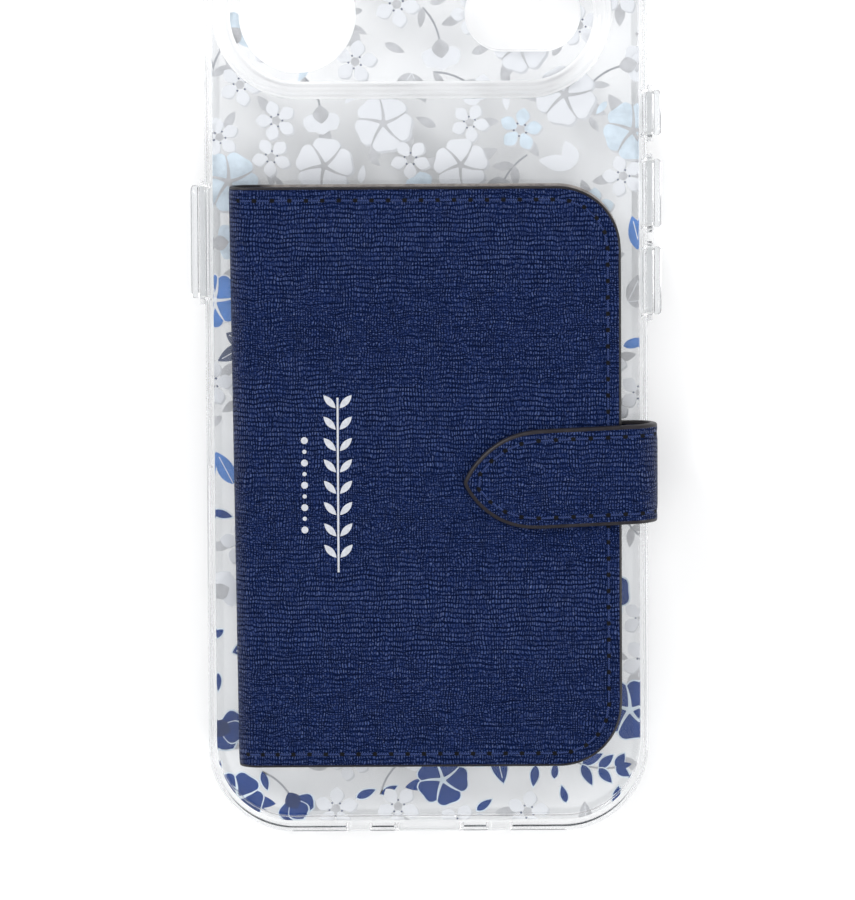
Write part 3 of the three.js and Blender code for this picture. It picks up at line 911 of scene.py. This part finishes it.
BUTTONS = ("side_button", "action_button", "volume_up_button", "volume_down_button")
FRAME_PROFILE = (  # height, inset
    (0, 1.2), (0.12, 0.75), (0.4, 0.38), (0.9, 0.12), (1.6, 0), (3.4, 0), (5.2, 0), (6.6, 0), (7.4, 0.06),
    (7.9, 0.16), (8.0, 0.4), (8.45, 0.5), (8.78, 0.72), (bumper_high[2], 1.0))
COLLAR_GAP_Y, COLLAR_GAP_Z, BUTTON_GAP = 0.95, 0.8, 0.25
bumper = loft("soft_frame", stacked(case_outline, FRAME_PROFILE), [soft_clear])
web_y = (extent("volume_down_button")[1][1] + extent("volume_up_button")[0][1]) / 2
web = side_prism(rounded_outline(web_y - 1.45, web_y + 1.45, MID_Z - 1.6, MID_Z + 1.6, 0.5, 4),
                 CASE_HALF_X - 0.5, bumper_high[0])
boolean(bumper, web, "UNION")
for name in BUTTONS:
    low, high = extent(name)
    collar = button_outline(low, high, COLLAR_GAP_Y, COLLAR_GAP_Z, 1.6)
    boolean(bumper, side_prism(collar, *side_of(high, 38.0, 39.35)), "UNION")
boolean(bumper, prism(centred_outline(*PHONE_BAY), BAY_FLOOR, PLATE_BOTTOM))
boolean(bumper, prism(centred_outline(*SCREEN_OPENING), -1, BAY_FLOOR + 0.1))
boolean(bumper, prism(plate_outline(-0.22), PLATE_BOTTOM - 0.1, 12))
for name in BUTTONS:
    low, high = extent(name)
    slot = button_outline(low, high, BUTTON_GAP, BUTTON_GAP, 1.9)
    boolean(bumper, side_prism(slot, *side_of(high, 36.5, 42)))
for x, half_x, half_z in PORTS:
    slot_outline = rounded_outline(x - half_x, x + half_x, MID_Z - half_z, MID_Z + half_z, half_z - 0.01, 8)
    boolean(bumper, end_prism(slot_outline, -CASE_HALF_Y - 1, -76))
# the opening over the camera key widens outward, so that a finger slides in
key_opening = [(x, CAMERA_KEY["y"] + reach) for x, reach in (
    (-39.5, -CAMERA_KEY["outer"]), (-35.4, -CAMERA_KEY["inner"]),
    (-35.4, CAMERA_KEY["inner"]), (-39.5, CAMERA_KEY["outer"]))]
boolean(bumper, prism(key_opening, CAMERA_KEY["low"], CAMERA_KEY["high"]))
finish_edges(bumper, 0.14)
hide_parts("case_bumper")
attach(bumper, "case")

PLATE_PROFILE = ((PLATE_BOTTOM, 0), (8.4, 0), (8.62, 0.04), (8.75, 0.14), (PLATE_TOP, 0.28))
plate = loft("hard_back", stacked(plate_outline, PLATE_PROFILE), [hard_clear])

# heights on the hump's side, from its foot to its top
RISES = (0.0, 0.08, 0.18, 0.32, 0.5, 0.8, 1.2, 1.6, 2.0, 2.3, 2.5, 2.62, 2.7)


def hump_inset(rise):
    """How far the hump's side lies inside its foot: a small fillet, a steep side and a rounded shoulder."""
    t = rise / RISES[-1]
    return HUMP["draft"] * (0.12 + 0.62 * t + 0.5 * t ** 6) - 0.42 * math.exp(-rise / 0.3)


hump_levels = [(7.6, hump_inset(0)), (PLATE_TOP - 0.1, hump_inset(0))]
hump_levels += [(PLATE_TOP + rise, hump_inset(rise)) for rise in RISES]
boolean(plate, loft("cutter", stacked(hump_outline, hump_levels), []), "UNION")
# the wall's inner side runs parallel to its outer side, so that one sees straight through it
hollow = [(6, hump_inset(0) + 0.5)]
hollow += [(PLATE_TOP + rise - HUMP["wall"], hump_inset(rise) + 0.5) for rise in RISES]
boolean(plate, loft("cutter", stacked(hump_outline, hollow), []))


def cut_openings(body, bottom, gap=0.0, slack=0.01):
    """Cuts the lens and flash openings out of a body, each wider by a gap."""
    half = FLASH["half"] + gap
    flash_outline = rounded_outline(FLASH["left"] - gap, FLASH["right"] + gap, FLASH["y"] - half,
                                    FLASH["y"] + half, half - slack, 16)
    for outline in (circle(LENS[0], LENS[1], LENS[2] + gap), flash_outline):
        boolean(body, prism(outline, bottom, 13))


cut_openings(plate, 7)
groove = prism(circle(0, 0, MAGNET_GROOVE[1], 96), 6, GROOVE_TOP)
boolean(groove, prism(circle(0, 0, MAGNET_GROOVE[0], 96), 5, 9))
boolean(plate, groove)
boolean(plate, prism(rounded_outline(*MAGNET_BAR_GROOVE, 1.1, 6), 6, GROOVE_TOP))
finish_edges(plate, 0.18)
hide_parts("case_back_plate")
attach(plate, "case")

CAP_CORNER = 1.69
# shares of a cap's depth from its inner face, with the inset there: a groove runs round the cap
CAP_PROFILE = ((0, 0.05), (0.06, 0), (0.52, 0), (0.55, 0.3), (0.6, 0.3), (0.63, 0.05), (0.84, 0.05),
               (0.92, 0.2), (0.98, 0.42), (1, 0.7))


def make_button(name):
    """A clear cap with rounded ends and a softly rounded outer face."""
    low, high = extent(name)
    sign = 1 if high[0] > 0 else -1
    inner, outer = (low[0], high[0]) if sign > 0 else (high[0], low[0])
    rings = []
    for share, inset in CAP_PROFILE:
        x = inner + (outer - inner) * share
        outline = button_outline(low, high, -inset, -inset, CAP_CORNER - inset, 8)
        rings.append([(x, y, z) for y, z in (outline if sign > 0 else reversed(outline))])
    made = loft(name + "_cap", rings, [button_clear])
    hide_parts(name)
    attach(made, name)


for name in BUTTONS:
    make_button(name)

# ---- printed flowers ----

INKS = {
    "royal": ink("royal blue ink", srgb(0, 54, 124)),
    "deep": ink("deep blue ink", srgb(2, 38, 92)),
    "mid": ink("mid blue ink", srgb(82, 128, 196)),
    "pale": ink("pale blue ink", srgb(206, 219, 229)),
    "white": ink("white ink", srgb(226, 228, 232), 0.02),
    "grey": ink("light grey ink", srgb(188, 189, 192)),
    "slate": ink("slate ink", srgb(84, 94, 120)),
    "shade": ink("soft shade ink", srgb(204, 206, 210), 0.04),
    "stem": ink("grey stem ink", srgb(162, 164, 169)),
}
INK_NAMES = list(INKS)
LAYER_STEP, LEVEL_STEP, CHIP_THICKNESS = 0.0155, 0.0017, 0.001
LEVELS = 9


class Print:
    """Collects thin printed shapes, each a closed chip at its own layer, into one mesh."""

    def __init__(self, bottom):
        self.bottom, self.level = bottom, 0
        self.points, self.faces, self.slots = [], [], []

    def shape(self, outline, colour, layer):
        """A chip. Its motif's level keeps it off the chips of a motif that it overlaps."""
        base = self.bottom + LAYER_STEP * layer + LEVEL_STEP * self.level
        rings = [[(x, y, base + lift) for x, y in outline] for lift in (0, CHIP_THICKNESS)]
        add_tube(self.points, self.faces, self.slots, rings, INK_NAMES.index(colour))

    def petal(self, x, y, turn, inner, length, width, colour, layer, belly=0.5, rim=None):
        """A petal or leaf from inner to length along turn, widest at belly, over a thin rim of ink."""
        margin, steps = 0.22, 9
        if rim:
            self.petal(x, y, turn, inner - margin, length + margin * 1.4, width + 2 * margin, rim,
                       layer - 1, belly)
        heading = math.cos(turn), math.sin(turn)
        power = math.log(0.5) / math.log(belly)
        outline = []
        for sign in (1, -1):
            for i in range(steps):
                t = i / steps if sign > 0 else 1 - i / steps
                across = sign * width / 2 * math.sin(math.pi * t ** power) ** 0.85
                outline.append(beside(x, y, heading, inner + (length - inner) * t, across))
        self.shape(outline[::-1], colour, layer)

    def fan(self, x, y, turn, radius, half_angle, colour, layer):
        """A broad petal like a slice of a round flower with a soft outer edge."""
        outline = [(x, y)]
        for i in range(11):
            t = i / 5 - 1
            reach = radius * (1 - 0.17 * abs(t) ** 3.2 - 0.035 * math.cos(t * 5))
            outline.append(polar(x, y, reach, turn + half_angle * t))
        self.shape(outline, colour, layer)

    def dot(self, x, y, radius, colour, layer):
        self.shape(circle(x, y, radius, 10), colour, layer)

    def stem(self, x, y, turn, length, bend, width, colour, layer, tip=1.0):
        """A thin curved stem, tip times as wide at its end. Gives back the points and headings along it."""
        line, left, right = [], [], []
        for i in range(13):
            heading = turn + bend * i / 12
            half = width / 2 * (1 + (tip - 1) * i / 12)
            line.append((x, y, heading))
            left.append((x - half * math.sin(heading), y + half * math.cos(heading)))
            right.append((x + half * math.sin(heading), y - half * math.cos(heading)))
            x, y = polar(x, y, length / 12, heading)
        self.shape(right + left[::-1], colour, layer)
        return line


# up to a share of the case's height: petal inks, each up to a roll of the dice, and the inks of leaves
TONES = (
    (0.36, ((0.72, "royal"), (1, "white")), ("royal", "royal", "royal", "grey")),
    (0.52, ((0.45, "royal"), (0.7, "mid"), (1, "white")), ("royal", "mid", "grey", "slate")),
    (0.65, ((0.35, "mid"), (0.75, "pale"), (1, "white")), ("mid", "grey", "slate", "grey")),
    (9.0, ((0.4, "pale"), (1, "white")), ("grey", "grey", "grey", "white", "pale")),
)
RIMS = {"royal": "pale", "mid": "white", "pale": "grey", "white": "grey"}


def tones(y):
    """Ink names at a height on the case: deep blues low down, paler ones further up."""
    roll = rng.random()
    petals, leaves = next(row[1:] for row in TONES if (y + 78) / 156 < row[0])
    petal = next(name for top, name in petals if roll < top)
    leaf = rng.choice(leaves)
    return {"petal": petal, "rim": RIMS[petal], "strong": petal in ("royal", "mid"), "leaf": leaf,
            "leaf_rim": "pale" if leaf == "royal" else None}


def behind(x, y, size, turn, tone, count=2):
    """Grey and tinted leaves that peep out from behind a flower."""
    for i in range(count):
        heading = turn + 2.4 * i + rng.uniform(-0.4, 0.4)
        leaf = tone["leaf"] if i else "grey"
        art.petal(x, y, heading, 0.5 * size, size * 1.5, size * 0.46, leaf, 1, 0.45)


def poppy(x, y, size, turn, tone):
    """A round flower of five broad petals with tapering lines between them, over a rim or a soft shade."""
    behind(x, y, size, turn, tone)
    for i, layer in enumerate((5, 6, 5, 6, 7)):
        heading = turn + 2 * math.pi * i / 5
        if tone["strong"]:
            art.fan(x, y, heading, size * 1.05, 0.66, tone["rim"], layer - 3)
        else:
            art.fan(x + 0.3, y - 0.3, heading, size * 1.02, 0.62, "shade", layer - 3)
        art.fan(x, y, heading, size, 0.63, tone["petal"], layer)
    for i in range(5):
        art.stem(x, y, turn + math.pi / 5 + 2 * math.pi * i / 5 - 0.16, size * 0.9, 0.42, size * 0.14,
                 tone["rim"], 8, 0.25)
    art.dot(x, y, 0.14 * size, tone["rim"], 9)


def half_poppy(x, y, size, turn, tone):
    """A flower from the side: three petals over a rounded cup, on a bent stem."""
    px, py, heading = art.stem(x, y, turn + math.pi, size * 1.6, 0.7, 0.36, "stem", 2)[-1]
    art.petal(px, py, heading + 2.2, 0, size * 0.8, size * 0.3, tone["leaf"], 3, 0.45, tone["leaf_rim"])
    for offset, layer in ((-0.62, 4), (0.62, 6), (0, 8)):
        art.petal(x, y, turn + offset, 0, size * 1.02, size * 0.84, tone["petal"], layer, 0.64,
                  tone["rim"] if tone["strong"] else None)
    cup = "slate" if tone["petal"] == "mid" else "grey" if tone["petal"] in ("pale", "white") else "deep"
    art.petal(x, y, turn, -0.22 * size, size * 0.55, size * 0.66, cup, 9, 0.5)


def small_flower(x, y, size, turn, tone):
    """A small white flower with pointed petals and a dotted grey heart."""
    petal = "white" if tone["petal"] != "pale" or rng.random() < 0.6 else "pale"
    behind(x, y, size, turn + 0.5, tone, 1)
    for i in range(5):
        heading = turn + 2 * math.pi * i / 5
        art.petal(x + 0.25, y - 0.25, heading, 0.2 * size, size, size * 0.6, "shade", 3, 0.58)
        art.petal(x, y, heading, 0.12 * size, size, size * 0.62, petal, 5, 0.58)
    art.dot(x, y, 0.2 * size, "grey", 6)
    for i in range(5):
        art.dot(*polar(x, y, 0.3 * size, turn + 2 * math.pi * (i + 0.5) / 5), 0.045 * size, "slate", 6)


def spray(x, y, size, turn, tone):
    """A curved stem with pointed leaves on both sides."""
    line = art.stem(*polar(x, y, -size, turn), turn - 0.3, size * 1.9, 0.8, 0.34, "stem", 2)
    for i, (px, py, heading) in enumerate(line[4::4]):
        length = size * (0.86 - 0.13 * i)
        for side, layer in ((1, 4), (-1, 6)):
            art.petal(px, py, heading + side * 0.8, 0.05, length, size * 0.34, tone["leaf"], layer, 0.42,
                      tone["leaf_rim"])
    art.petal(px, py, heading, 0, size * 0.6, size * 0.26, tone["leaf"], 8, 0.42)


def broad_leaf(x, y, size, turn, tone):
    """A pair of broad leaves with a light midrib."""
    tint = tone["leaf"]
    for offset, length, layer in ((0.3, 1.25, 4), (-0.75, 0.9, 7)):
        sx, sy = polar(x, y, -0.4 * size, turn)
        art.petal(sx, sy, turn + offset, 0, size * length, size * 0.56, tint, layer, 0.45, tone["leaf_rim"])
        art.stem(sx, sy, turn + offset, size * length * 0.85, 0.0, 0.14,
                 "pale" if tone["leaf_rim"] else "white", layer + 1)


def filler(x, y, size, turn, tone):
    """One loose leaf between the larger motifs."""
    art.petal(x, y, turn, -size, size, size * 0.8, tone["leaf"], 3, 0.42, tone["leaf_rim"])


MOTIFS = [(poppy, 4.4, 5.3, 0.28), (half_poppy, 4.0, 5.0, 0.22), (small_flower, 3.4, 4.1, 0.26),
          (spray, 3.8, 4.8, 0.08), (broad_leaf, 4.4, 5.4, 0.16)]  # maker, smallest, largest, share
FILLERS = [(filler, 1.4, 2.2, 1)]
PRINT_X, PRINT_Y = (-38, 38), (-79, 80)


def scatter(count, makers, gap):
    """Sets motifs out at random where they leave room for each other."""
    for _ in range(count):
        x, y = rng.uniform(*PRINT_X), rng.uniform(*PRINT_Y)
        pick = rng.random() * sum(m[3] for m in makers)
        for maker, small, large, share in makers:
            pick -= share
            if pick <= 0:
                break
        size = rng.uniform(small, large)
        if any(math.hypot(x - px, y - py) < (size + ps) * gap for px, py, ps, _ in placed):
            continue
        near = {pl for px, py, ps, pl in placed if math.hypot(x - px, y - py) < (size + ps) * 1.75}
        art.level = min(set(range(LEVELS)) - near, default=rng.randrange(LEVELS))
        placed.append((x, y, size, art.level))
        maker(x, y, size, rng.uniform(0, 2 * math.pi), tones(y + rng.uniform(-5, 5)))


HUMP_LIFT = 2.87  # from the print under the back to the print inside the hump
PRINT_GAP = 0.35  # between the print and the openings
WALL_RING = (0.3, 3.15)  # insets from the hump's foot between which there is no print


def print_area():
    """The body inside which ink may lie, clear of the back's rim, the openings and the hump's wall."""
    area = prism(inset_outline(film_low, film_high, PRINT_CORNER, 0.1), film_low[2] - 1, film_high[2] + 1)
    wall = prism(hump_outline(WALL_RING[0]), 5, 9)
    boolean(wall, prism(hump_outline(WALL_RING[1]), 4, 10))
    boolean(area, wall)
    cut_openings(area, 4, PRINT_GAP, 0.05)
    return area


def print_carrier():
    """The clear film that carries the print, with a raised window inside the hump."""
    bottom, top = film_low[2] - 0.05, film_low[2] - 0.002
    carrier = prism(inset_outline(film_low, film_high, PRINT_CORNER, 0.1), bottom, top)
    boolean(carrier, prism(hump_outline(WALL_RING[0]), 5, 9))
    window = prism(hump_outline(WALL_RING[1]), bottom + HUMP_LIFT, top + HUMP_LIFT)
    cut_openings(window, 4, PRINT_GAP, 0.05)
    boolean(carrier, window, "UNION")
    carrier.name = "print_carrier"
    carrier.data.materials.append(film_clear)
    return carrier


rng = random.Random(31)
art = Print(film_low[2] + 0.003)
placed = []
scatter(6000, MOTIFS, 0.88)
scatter(3000, FILLERS, 0.98)
print_piece = make_object("floral_print", art.points, art.faces, [INKS[n] for n in INK_NAMES], art.slots)
boolean(print_piece, print_area(), "INTERSECT", "MANIFOLD")
hump_radius = (HUMP["high"] - HUMP["low"]) / 2
for vertex in print_piece.data.vertices:
    x, y = vertex.co.x / MM, vertex.co.y / MM
    nearest_x = min(max(x, HUMP["left"] + hump_radius), HUMP["right"] - hump_radius)
    if math.hypot(x - nearest_x, y - HUMP["low"] - hump_radius) < hump_radius - sum(WALL_RING) / 2:
        vertex.co.z += HUMP_LIFT * MM
for piece in (print_piece, print_carrier()):
    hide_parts("case_print_film")
    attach(piece, "case")

# ---- foil ornament on the cover ----

ORNAMENT_X, ORNAMENT_Y, ORNAMENT_LENGTH = -15.5, -17.7, 30.5
LEAF_PAIRS, LEAF_MARGIN = 8, 2.2
DOTS, DOTS_X, DOT_PITCH = 9, ORNAMENT_X - 5.8, 1.95


def foil_ornament():
    """A pressed silver sprig with a row of dots beside it, standing along the cover."""
    foil_art = Print(cover_high[2] + 0.012)
    bottom = ORNAMENT_Y - ORNAMENT_LENGTH / 2
    foil_art.stem(ORNAMENT_X, bottom, math.pi / 2, ORNAMENT_LENGTH, 0, 0.34, "white", 0)
    for i in range(LEAF_PAIRS):
        y = bottom + LEAF_MARGIN + i * (ORNAMENT_LENGTH - 2 * LEAF_MARGIN) / (LEAF_PAIRS - 1)
        for side in (1, -1):
            foil_art.petal(ORNAMENT_X, y, math.pi / 2 + side * 0.75, 0.5, 3.6, 1.15, "white", 0)
    for i in range(DOTS):
        y = ORNAMENT_Y + (i - DOTS // 2) * DOT_PITCH
        foil_art.dot(DOTS_X, y, 0.38 if i % 2 else 0.62, "white", 0)
    made = make_object("foil_ornament", foil_art.points, foil_art.faces, [foil])
    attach(made, "cover")


foil_ornament()

# ---- finishes of the CAD nodes that stay ----

FINISHES = (
    (magnet_coat, ("case_magnet_ring", "case_magnet_bar")),
    (nickel, ("wallet_magnet_ring", "wallet_magnet_bar", "strap_snap_magnet")),
    (rolled_steel, ("wallet_shield_plate", "cover_snap_plate")),
    (fibre_board, ("wallet_magnet_carrier", "cover_board")),
)
for material, names in FINISHES:
    for name in names:
        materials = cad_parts[name].data.materials
        materials.clear()
        materials.append(material)

# ---- floor, light and camera ----


def floor_material():
    n = Nodes("pale floor")
    cloud = n.noise(n.coordinates((20, 20, 20)), 1.0, 2)
    n.feed(Base_Color=n.ramp(cloud, [(0.4, (0.86, 0.86, 0.86, 1)), (0.6, (0.88, 0.88, 0.88, 1))]))
    n.set(Roughness=0.9, Emission_Color=(1, 1, 1, 1), Emission_Strength=0.16)
    return n.material


FLOOR_HALF = 900
corners = [(x * FLOOR_HALF, y * FLOOR_HALF, 0) for x, y in ((-1, -1), (1, -1), (1, 1), (-1, 1))]
floor = make_object("floor", corners, [(0, 1, 2, 3)], [floor_material()])
floor.location.z = -0.02 * MM


def area_light(name, place, size, power):
    data = bpy.data.lights.new(name, "AREA")
    data.shape = "SQUARE"
    data.size = size
    data.energy = power
    made = put_in_scene(name, data)
    made.location = place
    made.rotation_euler = (Vector((0, 0, 0)) - Vector(place)).to_track_quat("-Z", "Y").to_euler()
    return made


area_light("key", (-0.7, 0.75, 0.8), 0.36, 6.0)
area_light("fill", (0.9, -0.3, 0.9), 0.6, 5.0)
overhead = area_light("overhead", (0, 0, 1.9), 2.2, 26.0)
overhead.visible_glossy = False


HORIZON, ZENITH = (1.0, 1.0, 1.0, 1), (0.16, 0.16, 0.17, 1)


def studio_world():
    """A soft room: bright round the horizon, dimmer overhead, so glossy tops keep their colour."""
    world = bpy.data.worlds.new("studio")
    world.use_nodes = True
    nodes, links = world.node_tree.nodes, world.node_tree.links
    coordinates = nodes.new("ShaderNodeTexCoord")
    split = nodes.new("ShaderNodeSeparateXYZ")
    ramp = nodes.new("ShaderNodeValToRGB")
    for element, position, colour in zip(ramp.color_ramp.elements, (0.0, 0.9), (HORIZON, ZENITH)):
        element.position, element.color = position, colour
    links.new(coordinates.outputs["Generated"], split.inputs["Vector"])
    links.new(split.outputs["Z"], ramp.inputs["Fac"])
    links.new(ramp.outputs["Color"], nodes["Background"].inputs["Color"])
    nodes["Background"].inputs["Strength"].default_value = 0.8
    return world


scene = bpy.context.scene
scene.world = studio_world()
scene.view_settings.view_transform = "Standard"
scene.cycles.use_denoising = True

CAMERA_TILT = math.radians(6.5)
CAMERA_ROLL = math.radians(0.3)
CAMERA_DISTANCE = 1.5
CAMERA_LENS = 342.4
CAMERA_AIM = Vector((0.00005, -0.01345, 0))
camera_data = bpy.data.cameras.new("camera")
camera_data.lens = CAMERA_LENS
camera_data.clip_end = 20
camera = put_in_scene("camera", camera_data)
away = Vector((0, math.sin(CAMERA_TILT), math.cos(CAMERA_TILT)))
turn = Matrix.Rotation(-CAMERA_TILT, 4, "X") @ Matrix.Rotation(-CAMERA_ROLL, 4, "Z")
camera.matrix_world = Matrix.Translation(CAMERA_AIM + away * CAMERA_DISTANCE) @ turn
scene.camera = camera
